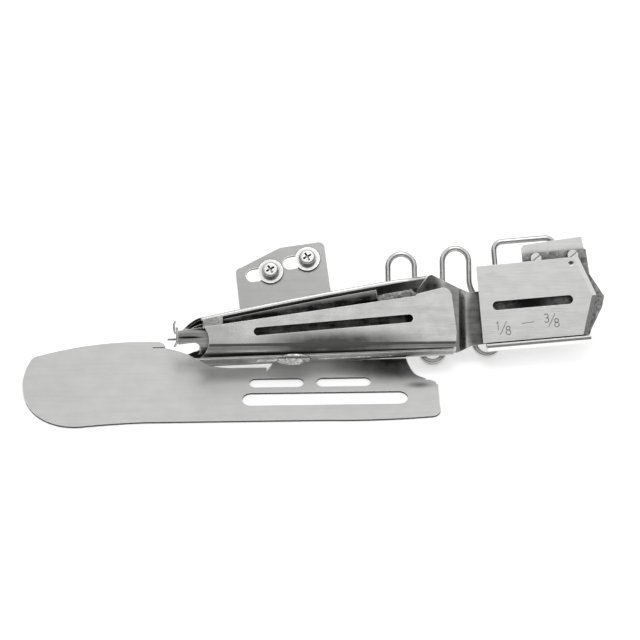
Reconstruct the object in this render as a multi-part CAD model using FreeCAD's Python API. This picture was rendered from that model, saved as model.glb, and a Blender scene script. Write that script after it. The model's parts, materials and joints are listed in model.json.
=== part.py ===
import FreeCAD, Part
import os
from math import atan2, cos, hypot, pi, radians, sin, tan

# Right angle binder for a sewing machine, in millimetres.
# The origin is the centre of the long slot, on the underside of the bed plate.
# X runs along the plate to the right, Y away from the operator, Z up.

Vec = FreeCAD.Vector

# Bed plate
plate_thickness = 0.8
plate_front = 10.1           # from the long slot's middle to the front edge
plate_right = 38.0           # from the long slot's middle to the right edge
lobe_start = 60.0            # where the straight front edge turns into the lobe
lobe_end = 101.3             # reach of the rounded lobe to the left
lobe_front = 11.6            # how far the lobe bulges forwards
lobe_rear = 28.8             # rear edge of the lobe
lobe_run = 19.5              # from the lobe's start to its foremost point
lobe_bow = 1.5               # bow of its left edge
lobe_corner = 4.6            # its rear left corner
lobe_fall = 6.2              # the rear edge's fall towards that corner
front_rise = 1.0             # the front edge's rise towards the right end
front_corner = 3.4           # the rounded corner there
ear_left = 54.2              # right end of the lobe, where the tape passes
ear_slit = 4.2               # length of the relief slit below the ear
ear_slit_width = 0.5
ear_corner = 3.3
ear_drop = 2.7               # from the rear edge to the slit
bay_end = 30.0               # where the bay between ear and rear edge runs out
rear_edge = 15.3             # straight rear edge, left of the pressed-up flange
flange_left = -19.4          # left end of the pressed-up flange that carries the folder
flange_inset = 11.0          # from the plate's right edge to the flange's upper right end
flange_bend = 13.2           # line along which the flange turns up, at its left end
flange_bend_radius = 2.5
flange_slant = 2.2           # its left end leans to the right on its way up
flange_steepness = 50.0      # slope of its right end
flange_gap = 0.4             # between its upper edge and the folder's round
flange_touch_left = 10.0     # where it meets the round, from straight down
flange_touch_right = 35.0
corner_depth = 5.1           # the cut-out right of the flange
corner_round = 1.2
corner_fall = 4.2
long_slot_length = 55.2
long_slot_width = 6.0
short_slot_length = 18.3
short_slot_width = 4.3
short_slot_spacing = 22.5
short_slot_offset = 7.8      # from the long slot's middle line
short_slot_shift = -4.9      # middle of the pair, from the long slot's middle

# Folder: two shells of folded sheet, tilted towards the operator
folder_tilt = 45.0
folder_back = 20.12          # where the rear sheet's lower line stands, along Y
folder_height = 6.0          # and its height over the bed
back_sheet = 0.8
face_sheet = 0.6
inner_sheet = 0.5
mouth_depth = 9.5            # depth of the folder at the mouth
entry_depth = 6.6            # depth of the folder at its right end
mouth_station = -41.0
entry_station = 44.5
seam_gap = 0.3               # between the two shells where they lie against each other
mouth_curl_gap = 0.5         # between the two shells' lower curls at the mouth
curl_drop = 1.3              # how far the rear sheet's curl hangs lower there
tape_gap = 1.0               # room for the tape between shell and inner scroll
round_share = 0.96           # share of a half round that the two bends take

# Face shell
face_top_mouth = 6.5         # upper edge of the face over the fold line, left and right
face_top_entry = 16.2
face_top_left = -39.5
face_top_right = 32.0
face_corner_height = 18.8
face_corner = 40.6
face_corner_round = 3.4
face_step = 0.7
face_return = 3.0            # height of the leg behind the lower round
face_slot_length = 53.6
face_slot_width = 2.7
face_slot_middle = 3.2
face_slot_height = 6.6
face_slot_slope = 4.3
scroll_window_margin = 1.2   # the inner scroll's window is this much wider, all round
notch_radius = 7.0
notch_centre = -45.45
notch_height = 1.9

# Back shell: upper channel, neck and mouth
lip_start = (-41.0, 9.9)     # upper edge of the channel: mouth end, middle, right end
lip_middle = (2.2, 18.1)
lip_end = (36.8, 23.6)
beak_tip = (-48.6, 5.9)
lip_depth = 6.4
lip_lean = 42.0              # the channel's roof leans forwards, from square to the rear sheet
lip_hem = 1.3
lip_bend = 0.2
lip_flat = 1.6               # flat strip of the roof's sheet on the rear sheet
beak_cut = 41.0              # where the channel's front hem stops at the mouth
beak_taper = 1.6             # the roof grows this much shallower towards the beak's tip
bevel_foot = 31.1            # slanted right end of the channel: its lower corner
bevel_run = 4.0              # and how far it runs to the right on its way up
joggle_gap = 1.5             # from the folder's right end to the neck's step
joggle_start = entry_station + joggle_gap
joggle_length = 2.4
joggle_rise = 1.2
joggle_bend = 0.8
neck_length = 13.1
neck_end = joggle_start + joggle_length + neck_length
neck_top = 17.3
neck_bottom = -0.8
neck_spread = 1.5            # the neck runs upwards a little on its way to the guide
neck_tab = 3.0
curl_top = 2.5               # where the flat rear sheet meets its lower curl
jaw_height = 1.8             # opening of the C in the rear sheet, over the fold line
jaw_round = 1.6
jaw_run = 6.0
jaw_fall = 3.1
jaw_end = -42.0
lower_jaw_end = -46.6
lower_jaw_slant = 28.4       # its underside is trimmed on a slant, clear of the bed plate
lower_jaw_drop = 2.2

# Inner scroll and the small blades of the mouth
scroll_web = 1.2             # from the window in the inner scroll to its right end
scroll_right = face_slot_middle + face_slot_length / 2 + scroll_window_margin + scroll_web
scroll_tip = -48.95
scroll_return = 2.0
scroll_top_drop = 1.0
tab_right = 31.2
tab_rise = 2.2               # the tab near its right end stands up into the channel
ring_top = 1.4
ring_right = -41.4
ring_round = 2.6
tab_round = 1.6
tongue_sheet = 0.4
tongue_width = 3.4
tongue_drop = 2.2
tongue_lift = 3.4
tongue_right = 17.5
blade_sheet = 0.6
blade_depth = 4.2
blade_foot = 1.6             # where the turning blade kicks out, over the fold line
blade_kick = 0.95
hem_blade_height = 4.0
hem_blade_bow = 0.4
pin_diameter = 0.7
pin_length = 3.0
pin_height = 2.5

# Mounting bracket and its screws
bracket_sheet = 1.2
bracket_slope = 9.5          # its lower edge follows the channel
bracket_lean = 17.0          # the upper leg leans back from the rear sheet
bracket_left = -29.0
bracket_foot = 12.3          # bend line over the fold line, at the left corner
bracket_flange = 5.0
bracket_bend = 1.0
bracket_width = 33.0
bracket_height = 19.0
bracket_low_height = 13.6
bracket_corner = 3.4
bracket_slot_length = bracket_width * 0.327
bracket_slot_width = 4.6
bracket_screw_left = bracket_width * 0.403
bracket_screw_height = 11.6
bracket_screw_spacing = bracket_width * 0.397
bracket_screw_rise = 2.1
screw_diameter = 3.0
screw_length = 6.0
head_diameter = 5.6
head_height = 2.1
head_round = 0.9
cross_width = 0.75
cross_length = 3.1
cross_depth = 1.1
washer_diameter = 8.5
washer_thickness = 0.8
washer_clearance = 0.3
nut_across_flats = 5.5
nut_thickness = 2.4
thread_clearance = 0.05

# Wire loops and wire guide
wire_diameter = 2.0
wire_seat = 0.15
loop_top_radius = 4.5
loop_bottom_radius = 4.2
loop_spacing = 18.5
loop_step_reach = 0.9        # from the right loop's middle to the neck's step
loop_left_x = joggle_start - loop_step_reach - loop_spacing
loop_left_top = 26.3
loop_top_rise = 1.7
loop_bottom_shift = 10.2
loop_left_bottom = -1.6
loop_bottom_rise = 2.1
loop_waist = 17.5
loop_bend = 9.0

# Tape guide
guide_slope = 4.2
guide_neck_overlap = 8.0     # how far the guide lies over the neck
guide_corner_height = -0.1
guide_length = 35.0
guide_point = 39.6
guide_skew = 0.4             # its lower edge is this much longer, its upper edge shorter
guide_height = 26.0
guide_front_sheet = 0.8
guide_back_sheet = 1.0
guide_gap = 1.5
guide_slot_length = 27.2
guide_slot_width = 3.0
guide_slot_left = 4.3
guide_slot_height = 12.2
guide_flare = 1.5
guide_flare_drop = 0.35
guide_margin = 2.9           # how far the back plate stands out on the right
guide_back_inset = 0.7       # and how far it stays behind the front plate's other edges
guide_back_top = 3.0         # height of the clamp strip over the front plate
clamp_left = 16.0
clamp_right = 37.6
guide_lip = 3.0              # lower lip's drop under the front plate
guide_lip_radius = 2.0
guide_lip_left = 1.2
spacer_width = 2.4
spacer_drop = 0.6
edge_guide_sheet = 1.0
edge_guide_height = 8.9
edge_guide_corner = 2.9
edge_guide_rise = 4.4
edge_screw_left = 20.5
edge_screw_spacing = 12.5
edge_screw_rise = 1.1        # over the front plate's upper edge
edge_screw_height = guide_height + edge_screw_rise
edge_screw_diameter = 2.0
edge_head_diameter = 3.6
edge_head_height = 1.2
edge_slot_width = 0.5
edge_slot_depth = 0.5
guide_wire_left = 6.9
guide_wire_width = 20.6
guide_wire_rise = 8.0        # over the front plate's upper edge
guide_wire_top = guide_height + guide_wire_rise
guide_wire_foot = 12.0
guide_wire_right_foot = 24.0
guide_wire_bend = 3.0
dimple_diameter = 1.6
dimple_depth = 0.3
dimple_place = (32.0, 24.4)

# Solder
front_bead_left = -16.0
front_bead_right = -4.6
front_bead_height = 5.0
front_bead_depth = 2.8
front_bead_touch = 82.0      # where the bead sits on the folder's round, from straight down
front_bead_slope = 1.5
patch_thickness = 0.45       # solder over the inner scroll's upper tab
patch_rise = 2.0
lip_patch_thickness = 1.4
lip_patch_left = -40.6
lip_patch_right = -33.8
floor_patch_left = 18.3
floor_patch_right = 29.4


# Small helpers

def tilt(shape):
    """Turn a shape from the folder's own frame into the frame of the bed."""
    place = FreeCAD.Placement(Vec(0, folder_back, folder_height), FreeCAD.Rotation(Vec(1, 0, 0), folder_tilt))
    moved = shape.copy()
    moved.Placement = place.multiply(moved.Placement)
    return moved


def in_guide(shape):
    """Move a shape from the tape guide's frame into the folder's frame."""
    corner = Vec(neck_end - guide_neck_overlap, guide_corner_height, 0)
    place = FreeCAD.Placement(corner, FreeCAD.Rotation(Vec(0, 0, 1), guide_slope))
    moved = shape.copy()
    moved.Placement = place.multiply(moved.Placement)
    return moved


def solid(shape):
    """Fuse the faces of a result and return its one solid."""
    clean = shape.removeSplitter()
    if len(clean.Solids) == 1:
        return clean.Solids[0]
    return clean


def outline_edges(steps, place):
    """Edges through a list of points; a pair of points in one step is an arc's middle and end."""
    here = steps[0]
    edges = []
    for step in steps[1:]:
        if isinstance(step[0], tuple):
            middle, end = step
            edges.append(Part.Arc(place(*here), place(*middle), place(*end)).toShape())
            here = end
        else:
            edges.append(Part.LineSegment(place(*here), place(*step)).toShape())
            here = step
    if hypot(here[0] - steps[0][0], here[1] - steps[0][1]) > 1e-6:
        edges.append(Part.LineSegment(place(*here), place(*steps[0])).toShape())
    return edges


def prism(steps, low, high):
    """A flat outline in the XY plane, raised from low to high."""
    face = Part.Face(Part.Wire(outline_edges(steps, lambda x, y: Vec(x, y, low))))
    return face.extrude(Vec(0, 0, high - low))


def slot(x, y, length, width, low, high):
    """A slot with round ends, its middle at x, y."""
    half = (length - width) / 2
    r = width / 2
    steps = [(x - half, y - r), (x + half, y - r), ((x + half + r, y), (x + half, y + r)),
             (x - half, y + r), ((x - half - r, y), (x - half, y - r))]
    return prism(steps, low, high)


def sheet_line(points, radii):
    """A bent line as straight steps and arcs, one radius for each inner corner."""
    steps = [points[0]]
    for i, radius in enumerate(radii):
        before, corner, after = points[i], points[i + 1], points[i + 2]
        run_in = (corner[0] - before[0], corner[1] - before[1])
        run_out = (after[0] - corner[0], after[1] - corner[1])
        size_in = hypot(*run_in)
        size_out = hypot(*run_out)
        a = (run_in[0] / size_in, run_in[1] / size_in)
        b = (run_out[0] / size_out, run_out[1] / size_out)
        turn = abs(atan2(a[0] * b[1] - a[1] * b[0], a[0] * b[0] + a[1] * b[1]))
        reach = radius * tan(turn / 2)
        start = (corner[0] - a[0] * reach, corner[1] - a[1] * reach)
        end = (corner[0] + b[0] * reach, corner[1] + b[1] * reach)
        inward = (b[0] - a[0], b[1] - a[1])
        size = hypot(*inward)
        drop = radius / cos(turn / 2) - radius
        middle = (corner[0] + inward[0] / size * drop, corner[1] + inward[1] / size * drop)
        steps.append(start)
        steps.append((middle, end))
    steps.append(points[-1])
    return steps


def offset_line(points, distance):
    """The same polyline moved to its left by the distance."""
    moved = []
    for i, point in enumerate(points):
        normals = []
        for first, second in ((i - 1, i), (i, i + 1)):
            if first >= 0 and second < len(points):
                dx = points[second][0] - points[first][0]
                dy = points[second][1] - points[first][1]
                normals.append((-dy / hypot(dx, dy), dx / hypot(dx, dy)))
        nx = sum(n[0] for n in normals) / len(normals)
        ny = sum(n[1] for n in normals) / len(normals)
        scale = distance / (nx * nx + ny * ny)
        moved.append((point[0] + nx * scale, point[1] + ny * scale))
    return moved


def sheet_wire(points, bend_radii, thickness, place):
    """Closed section of bent sheet: a line and the same line moved to its left (or right, if negative)."""
    outer_radii = []
    inner_radii = []
    for i, radius in enumerate(bend_radii):
        before, corner, after = points[i], points[i + 1], points[i + 2]
        run_in = (corner[0] - before[0], corner[1] - before[1])
        run_out = (after[0] - corner[0], after[1] - corner[1])
        cross = run_in[0] * run_out[1] - run_in[1] * run_out[0]
        if cross * thickness > 0:
            outer_radii.append(radius + abs(thickness))
            inner_radii.append(radius)
        else:
            outer_radii.append(radius)
            inner_radii.append(radius + abs(thickness))
    line = sheet_line(points, outer_radii)
    other = sheet_line(offset_line(points, thickness), inner_radii)
    edges = outline_edges(line, place)[:-1]
    back_edges = outline_edges(other, place)[:-1]
    edges.append(Part.LineSegment(place(*line[-1]), place(*other[-1])).toShape())
    edges.extend(reversed(back_edges))
    edges.append(Part.LineSegment(place(*other[0]), place(*line[0])).toShape())
    return Part.Wire(Part.__sortEdges__(edges))


def between(x, left_value, right_value, left=mouth_station, right=entry_station):
    """A size that changes evenly from the mouth to the entry of the folder."""
    return left_value + (right_value - left_value) * (x - left) / (right - left)


def depth_at(x):
    """Depth of the folder from the rear sheet's back to the face."""
    return between(x, mouth_depth, entry_depth)


def face_top_at(x):
    """Height of the face's upper edge."""
    return between(x, face_top_mouth, face_top_entry, face_top_left, face_top_right)


# Bed plate

def curl_centre(x):
    """Middle of the folder's lower round in the bed's frame, as Y and Z."""
    depth = curl_radius_at(x)
    drop = curl_drop_at(x)
    y = folder_back - (depth + drop) * sin(radians(folder_tilt))
    return y, folder_height + (depth - drop) * cos(radians(folder_tilt))


def on_curl(x, angle, gap):
    """A point below the folder's lower round, the angle counted forwards from straight down."""
    y, z = curl_centre(x)
    reach = curl_radius_at(x) + gap
    return y - reach * sin(radians(angle)), z - reach * cos(radians(angle))


def flange_section(x, bend, end, flat):
    """Section of the pressed-up flange at one end."""
    points = [(bend - flat, 0), (bend, 0), end]
    return sheet_wire(points, [flange_bend_radius], plate_thickness, lambda y, z: Vec(x, y, z))


def bed_plate():
    flange_reach = plate_right - corner_depth + corner_round
    low_end = on_curl(flange_left, flange_touch_left, flange_gap)
    end = on_curl(flange_reach, flange_touch_right, flange_gap)
    right_bend = end[0] - end[1] / tan(radians(flange_steepness))
    flat = flange_bend_radius
    seam = flat * 0.8
    front = [
        (plate_right - front_corner, front_rise - plate_front),
        ((plate_right / 2, -plate_front), (0, -plate_front)),
        (-lobe_start, -plate_front),
    ]
    right = [
        (flange_left, rear_edge),
        (flange_left, flange_bend - seam),
        (flange_reach, right_bend - seam),
        (plate_right, right_bend - seam),
        (plate_right, front_rise - plate_front + front_corner * 1.3),
        ((plate_right - front_corner * 0.2, front_rise - plate_front + front_corner * 0.32), front[0]),
    ]
    plate = prism(front + lobe_outline() + bay_outline() + right, 0, plate_thickness)
    left_section = flange_section(flange_left, flange_bend, low_end, flat)
    right_section = flange_section(flange_reach, right_bend, end, flat)
    flange = Part.makeLoft([left_section, right_section], True, True)
    plate = plate.fuse(flange.cut(flange_slope(low_end)))
    plate = plate.cut(prism(flange_corner(right_bend, end[0]), -1, end[1] + plate_thickness))
    low, high = -1, plate_thickness + 1
    plate = plate.cut(slot(0, 0, long_slot_length, long_slot_width, low, high))
    for side in (-1, 1):
        middle = short_slot_shift + side * short_slot_spacing / 2
        plate = plate.cut(slot(middle, short_slot_offset, short_slot_length, short_slot_width, low, high))
    return solid(plate)


def flange_slope(end):
    """Takes the flange's upper left corner off along a slanted line."""
    top = end[1] + plate_thickness * 2
    run = flange_slant * (top - plate_thickness) / (end[1] - plate_thickness)
    beyond = flange_left - 1
    foot = plate_thickness
    steps = [(beyond, foot), (flange_left, foot), (flange_left + run, top), (beyond, top)]
    face = Part.Face(Part.Wire(outline_edges(steps, lambda x, z: Vec(x, 0, z))))
    return face.extrude(Vec(0, folder_back, 0))


def lobe_outline():
    """The lobe's edge, from its foremost point round the left end to the ear."""
    middle = (lobe_rear - lobe_front) / 2
    left = -lobe_end
    rear = lobe_rear - lobe_fall
    return [
        ((-lobe_start - lobe_run * 0.53, -plate_front * 0.6 - lobe_front * 0.4),
         (-lobe_start - lobe_run, -lobe_front)),
        ((left + middle, -middle), (left + lobe_bow, middle / 7)),
        ((left, middle * 1.07), (left + lobe_bow, rear - lobe_corner * 0.7)),
        ((left + lobe_corner * 0.54, rear - lobe_corner * 0.26), (left + lobe_corner, rear)),
        ((-(lobe_end + ear_left) / 2, lobe_rear - lobe_fall * 0.17), (-ear_left - ear_corner, lobe_rear)),
        ((-ear_left - ear_corner * 0.27, lobe_rear - ear_corner * 0.21),
         (-ear_left, lobe_rear - ear_drop * 0.8)),
    ]


def bay_outline():
    """The slit below the ear and the bay that leads to the straight rear edge."""
    low = lobe_rear - ear_drop - ear_slit_width
    run = ear_left - bay_end
    rise = low - rear_edge
    return [
        (-ear_left - ear_slit_width / 2, lobe_rear - ear_drop),
        (-ear_left - ear_slit, lobe_rear - ear_drop),
        (-ear_left - ear_slit, low),
        (-ear_left, low),
        ((-bay_end - run * 0.66, rear_edge + rise * 0.66), (-bay_end - run * 0.39, rear_edge + rise * 0.155)),
        ((-bay_end - run * 0.23, rear_edge + rise * 0.04), (-bay_end, rear_edge)),
    ]


def flange_corner(bend, top):
    """The piece that is cut away right of the flange."""
    beyond = plate_right + corner_depth
    return [
        (plate_right - flange_inset, top + corner_round),
        ((plate_right - flange_inset + corner_fall * 0.43, bend + corner_fall * 0.43),
         (plate_right - corner_depth, bend - corner_fall * 0.19)),
        (plate_right - corner_round, bend - corner_fall * 0.64),
        ((plate_right - corner_round * 0.58, bend - corner_fall * 0.76),
         (plate_right - corner_round * 0.42, bend - corner_fall)),
        (beyond, bend - corner_fall),
        (beyond, top + corner_round),
    ]


# Folder, in its own frame: X along the bed, Y up the face, Z out of the face

def loft_between(section, left, right):
    """A ruled sheet between a section at the left station and one at the right."""
    return Part.makeLoft([section(left), section(right)], True, True)


def face_round_at(x):
    """Outer radius of the face shell's lower round."""
    return (depth_at(x) - back_sheet - seam_gap) / 2


def curl_gap_at(x):
    """Room between the two shells' lower rounds."""
    return between(x, mouth_curl_gap, seam_gap)


def curl_drop_at(x):
    """How far the middle of the rear sheet's curl lies below the fold line."""
    return between(x, curl_drop, 0)


def curl_radius_at(x):
    """Outer radius of the rear sheet's lower curl."""
    return face_round_at(x) + curl_gap_at(x) + back_sheet


def face_section(x):
    front = depth_at(x)
    rear = back_sheet + seam_gap
    radius = face_round_at(x)
    points = [(lip_end[1], front), (-radius, front), (-radius, rear), (face_return, rear)]
    bend = radius * round_share - face_sheet
    return sheet_wire(points, [bend, bend], face_sheet, lambda v, w: Vec(x, v, w))


def face_shell():
    shell = loft_between(face_section, notch_centre + 1.5, entry_station)
    step = face_top_right - face_sheet * 2
    size = face_corner_round
    keep = [
        (notch_centre, -mouth_depth),
        (entry_station - face_sheet, -mouth_depth),
        (entry_station, face_top_entry / 4),
        (face_corner + size * 0.76, face_corner_height - size),
        ((face_corner + size * 0.44, face_corner_height - size * 0.26),
         (face_corner - size * 0.12, face_corner_height)),
        (step + face_sheet, face_top_at(step) + face_step),
        (step, face_top_at(step)),
        (notch_centre, face_top_at(notch_centre)),
    ]
    front = shell.common(prism(keep, back_sheet, mouth_depth + 2))
    notch = Part.makeCylinder(notch_radius, mouth_depth + 4, Vec(notch_centre, notch_height, -1))
    front = front.cut(notch)
    return solid(front.cut(face_opening(0)))


def face_opening(margin):
    """The long slot through the front sheets, through which the tape is pushed along."""
    length = face_slot_length + 2 * margin
    width = face_slot_width + 2 * margin
    opening = slot(0, 0, length, width, mouth_depth / 2 - 1, mouth_depth + 2)
    opening.rotate(Vec(0, 0, 0), Vec(0, 0, 1), face_slot_slope)
    opening.translate(Vec(face_slot_middle, face_slot_height, 0))
    return opening


def arc_centre(a, b, c):
    """Centre of the circle through three points."""
    ax, ay = a
    bx, by = b
    cx, cy = c
    d = 2 * (ax * (by - cy) + bx * (cy - ay) + cx * (ay - by))
    aa = ax * ax + ay * ay
    bb = bx * bx + by * by
    cc = cx * cx + cy * cy
    x = (aa * (by - cy) + bb * (cy - ay) + cc * (ay - by)) / d
    y = (aa * (cx - bx) + bb * (ax - cx) + cc * (bx - ax)) / d
    return x, y


def angle_of(centre, point):
    return atan2(point[1] - centre[1], point[0] - centre[0])


def at_angle(centre, radius, angle):
    return centre[0] + radius * cos(angle), centre[1] + radius * sin(angle)


class LipPath:
    """The channel's upper edge: a long flat arc, and a tighter arc down to the beak."""

    def __init__(self):
        self.centre = arc_centre(lip_start, lip_middle, lip_end)
        self.radius = hypot(lip_start[0] - self.centre[0], lip_start[1] - self.centre[1])
        self.start = angle_of(self.centre, lip_start)
        self.end = angle_of(self.centre, lip_end)
        chord = (beak_tip[0] - lip_start[0], beak_tip[1] - lip_start[1])
        run = (-sin(self.start), cos(self.start))
        size = hypot(*chord)
        turn = atan2(run[0] * chord[1] - run[1] * chord[0], run[0] * chord[0] + run[1] * chord[1])
        self.beak_radius = size / (2 * sin(turn))
        inward = (cos(self.start), sin(self.start))
        self.beak_centre = (lip_start[0] - inward[0] * self.beak_radius,
                            lip_start[1] - inward[1] * self.beak_radius)
        self.beak_end = self.start + 2 * turn

    def main(self, share, inset=0.0):
        """A point on the long arc, moved inwards; share 0 is the mouth end."""
        return at_angle(self.centre, self.radius - inset, self.start + (self.end - self.start) * share)

    def beak(self, share, inset=0.0):
        """A point on the beak's arc, moved inwards; share 1 is the tip."""
        angle = self.start + (self.beak_end - self.start) * share
        return at_angle(self.beak_centre, self.beak_radius - inset, angle)

    def swept(self, profile, from_share, to_share, beak_share):
        """The profile, given as steps of inset and depth, swept along the path."""
        parts = []
        for centre, radius, first, last in (
                (self.centre, self.radius, self.start, self.end),
                (self.beak_centre, self.beak_radius, self.start, self.beak_end)):
            if centre is self.centre:
                begin = first + (last - first) * from_share
                finish = first + (last - first) * to_share
            else:
                begin = first
                finish = first + (last - first) * beak_share
            if abs(finish - begin) < 1e-9:
                continue

            def place(inset, depth):
                x, y = at_angle(centre, radius - inset, begin)
                return Vec(x, y, depth)

            face = Part.Face(profile(place))
            axis = Vec(centre[0], centre[1], 0)
            parts.append(face.revolve(axis, Vec(0, 0, 1), (finish - begin) * 180 / pi))
        whole = parts[0]
        for other in parts[1:]:
            whole = whole.fuse(other)
        return whole


def lip_corner():
    """Where the outsides of roof and hem would cross, inwards from the rounded upper edge."""
    outer = lip_bend + back_sheet
    return outer - outer * tan(radians(90 + lip_lean) / 2)


def lip_fold():
    """Inset of the line along which the roof leaves the rear sheet."""
    return lip_corner() + lip_depth * tan(radians(lip_lean))


def lip_profile(place):
    """Section of the upper channel: rear sheet, leaning roof and front hem."""
    points = [(lip_fold() + lip_flat, 0), (lip_fold(), 0), (lip_corner(), lip_depth), (lip_hem, lip_depth)]
    return sheet_wire(points, [lip_bend, lip_bend], -back_sheet, place)


def curl_section(x):
    """Section of the rear sheet's lower curl, which cups the face shell's round."""
    outer = curl_radius_at(x)
    inner = outer - back_sheet
    reach = outer * tan(pi / 8)
    low = -outer - curl_drop_at(x)
    knee = outer + reach * 1.05
    points = [(curl_top, 0), (low, 0), (low, knee), (low + reach, knee + reach)]
    return sheet_wire(points, [inner * 0.99, inner * 0.99], -back_sheet, lambda v, w: Vec(x, v, w))


def back_blank(path):
    """Flat outline of the rear sheet with its neck."""
    inset = lip_fold() + lip_flat / 2
    last = (bevel_foot - lip_start[0]) / (lip_end[0] - lip_start[0])
    end_x, end_y = path.main(1, 0)
    low = curl_top / 5
    return [
        path.beak(1, inset),
        (path.beak(0.5, inset), path.beak(0, inset)),
        (path.main(last / 2, inset), path.main(last, inset)),
        path.main(last, lip_fold()),
        (end_x - lip_flat * 0.75, end_y - lip_flat / 4),
        (end_x, end_y),
        (joggle_start + joggle_length * 0.67, neck_top + joggle_bend),
        (joggle_start + joggle_length * 1.5, neck_top),
        (neck_end, neck_top + neck_spread),
        (neck_end, neck_bottom + neck_spread),
        (joggle_start + joggle_length * 1.67, neck_bottom),
        (entry_station + neck_tab / 5, -neck_tab),
        (entry_station - neck_tab / 3, -neck_tab),
        (entry_station - neck_tab / 3, low),
        (lower_jaw_end, low),
        (beak_tip[0], low),
    ]


def joggled_sheet():
    """The rear sheet seen from above: flat, then raised under the tape guide."""
    spare = mouth_depth
    points = [
        (beak_tip[0] - spare, 0),
        (joggle_start, 0),
        (joggle_start + joggle_length, joggle_rise),
        (neck_end + spare, joggle_rise),
    ]
    wire = sheet_wire(points, [joggle_bend, joggle_bend], back_sheet, lambda x, w: Vec(x, -spare, w))
    return Part.Face(wire).extrude(Vec(0, spare * 2 + lip_end[1], 0))


def mouth_cut():
    """The C-shaped opening in the rear sheet, open to the left."""
    r = jaw_round
    steps = [
        (beak_tip[0] - mouth_depth, jaw_height),
        (jaw_end - r, jaw_height),
        ((jaw_end, jaw_height - r), (jaw_end - r, jaw_height - 2 * r)),
        (jaw_end - jaw_run, -jaw_fall),
        (beak_tip[0] - mouth_depth, -mouth_depth),
    ]
    return prism(steps, -1, 3.5)


def jaw_trim():
    """Takes the lower jaw's underside off along a slanted line."""
    run = jaw_end + jaw_run - lower_jaw_end
    fall = lower_jaw_drop + run * tan(radians(lower_jaw_slant))
    deep = 2 * mouth_depth
    steps = [(lower_jaw_end - deep, -lower_jaw_drop), (lower_jaw_end, -lower_jaw_drop),
             (lower_jaw_end + run, -fall), (lower_jaw_end + run, -deep), (lower_jaw_end - deep, -deep)]
    return prism(steps, -1, deep)


def back_shell(path):
    sheet = prism(back_blank(path), -1, mouth_depth).common(joggled_sheet())
    curl = loft_between(curl_section, lower_jaw_end, entry_station - neck_tab / 3)
    lip = path.swept(lip_profile, 0, 1, 1)
    spare = mouth_depth
    under = lip_depth - back_sheet * 1.25
    wedge = [
        (beak_tip[0] - spare, under - beak_taper),
        (beak_tip[0], under - beak_taper),
        (-beak_cut, under),
        (-beak_cut, lip_depth + spare),
        (beak_tip[0] - spare, lip_depth + spare),
    ]
    cutter = Part.Face(Part.Wire(outline_edges(wedge, lambda x, w: Vec(x, -2, w))))
    cutter = cutter.extrude(Vec(0, spare * 2, 0))
    lip = lip.cut(cutter)
    last = (bevel_foot - lip_start[0]) / (lip_end[0] - lip_start[0])
    foot = path.main(last, lip_fold())
    head = (foot[0] + bevel_run, lip_end[1])
    slant = (bevel_run * 2, (head[1] - foot[1]) * 2)
    bevel = [(foot[0] - slant[0] / 4, foot[1] - slant[1] / 4), (foot[0] + slant[0], foot[1] + slant[1]),
             (foot[0] + spare * 3, foot[1] + slant[1]), (foot[0] + spare * 3, foot[1] - slant[1] / 4)]
    lip = lip.cut(prism(bevel, -1, lip_depth + spare))
    shell = sheet.fuse(curl).fuse(lip)
    return solid(shell.cut(mouth_cut()).cut(jaw_trim()))


def scroll_section(x):
    front = depth_at(x) - face_sheet - tape_gap
    rear = back_sheet + seam_gap + face_sheet + tape_gap
    radius = (front - rear) / 2
    points = [(lip_end[1], front), (-radius, front), (-radius, rear), (scroll_return, rear)]
    bend = radius * round_share - inner_sheet
    return sheet_wire(points, [bend, bend], inner_sheet, lambda v, w: Vec(x, v, w))


def inner_scroll():
    sheet = loft_between(scroll_section, scroll_tip, scroll_right)
    tab = floor_patch_left + tab_round
    top = scroll_top_drop
    size = ring_round
    left = face_top_left + size
    keep = [
        (scroll_tip, ring_top - size * 0.2),
        (ring_right - size, ring_top),
        ((ring_right - size * 0.29, ring_top - size * 0.29), (ring_right, ring_top - size)),
        ((ring_right - size * 0.35, -size), (ring_right - size * 1.3, -size * 1.3)),
        (jaw_end - size * 1.5, -mouth_depth),
        (scroll_right, -mouth_depth),
        (scroll_right, face_top_at(scroll_right) - top),
        (tab_right, face_top_at(tab_right) - top),
        (tab_right, face_top_at(tab_right) + tab_rise - tab_round),
        (tab_right - tab_round, face_top_at(tab_right) + tab_rise),
        (tab, face_top_at(tab) + tab_rise),
        (tab, face_top_at(tab) - top),
        (left, face_top_at(left) - top),
        (ring_right, face_top_mouth - inner_sheet / 2),
        (scroll_tip, face_top_mouth - size * 0.46),
    ]
    body = sheet.common(prism(keep, 0, mouth_depth + 2))
    return largest(body.cut(face_opening(scroll_window_margin)))


def hem_tongue(path):
    """Thin strip in the upper channel; its foot stands on the rear sheet."""
    def profile(place):
        points = [
            (tongue_drop, back_sheet + tongue_lift),
            (tongue_drop + tongue_width, back_sheet + tongue_lift),
            (tongue_drop + tongue_width, back_sheet),
        ]
        return sheet_wire(points, [tongue_sheet], tongue_sheet, place)
    share = (tongue_right - lip_start[0]) / (lip_end[0] - lip_start[0])
    return solid(path.swept(profile, 0, share, 0.55))


def blade(points, radii):
    """A thin blade seen edge-on from the front, standing across the mouth."""
    front = depth_at(scroll_tip) - face_sheet - tape_gap
    low = front - blade_depth
    wire = sheet_wire(points, radii, -blade_sheet, lambda x, v: Vec(x, v, low))
    return Part.Face(wire).extrude(Vec(0, 0, blade_depth))


def turning_blade():
    x = scroll_tip
    foot = (x - blade_kick, blade_foot - blade_kick * 1.9)
    return blade([(x, face_top_mouth), (x, blade_foot), foot], [blade_sheet * 1.25])


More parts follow.
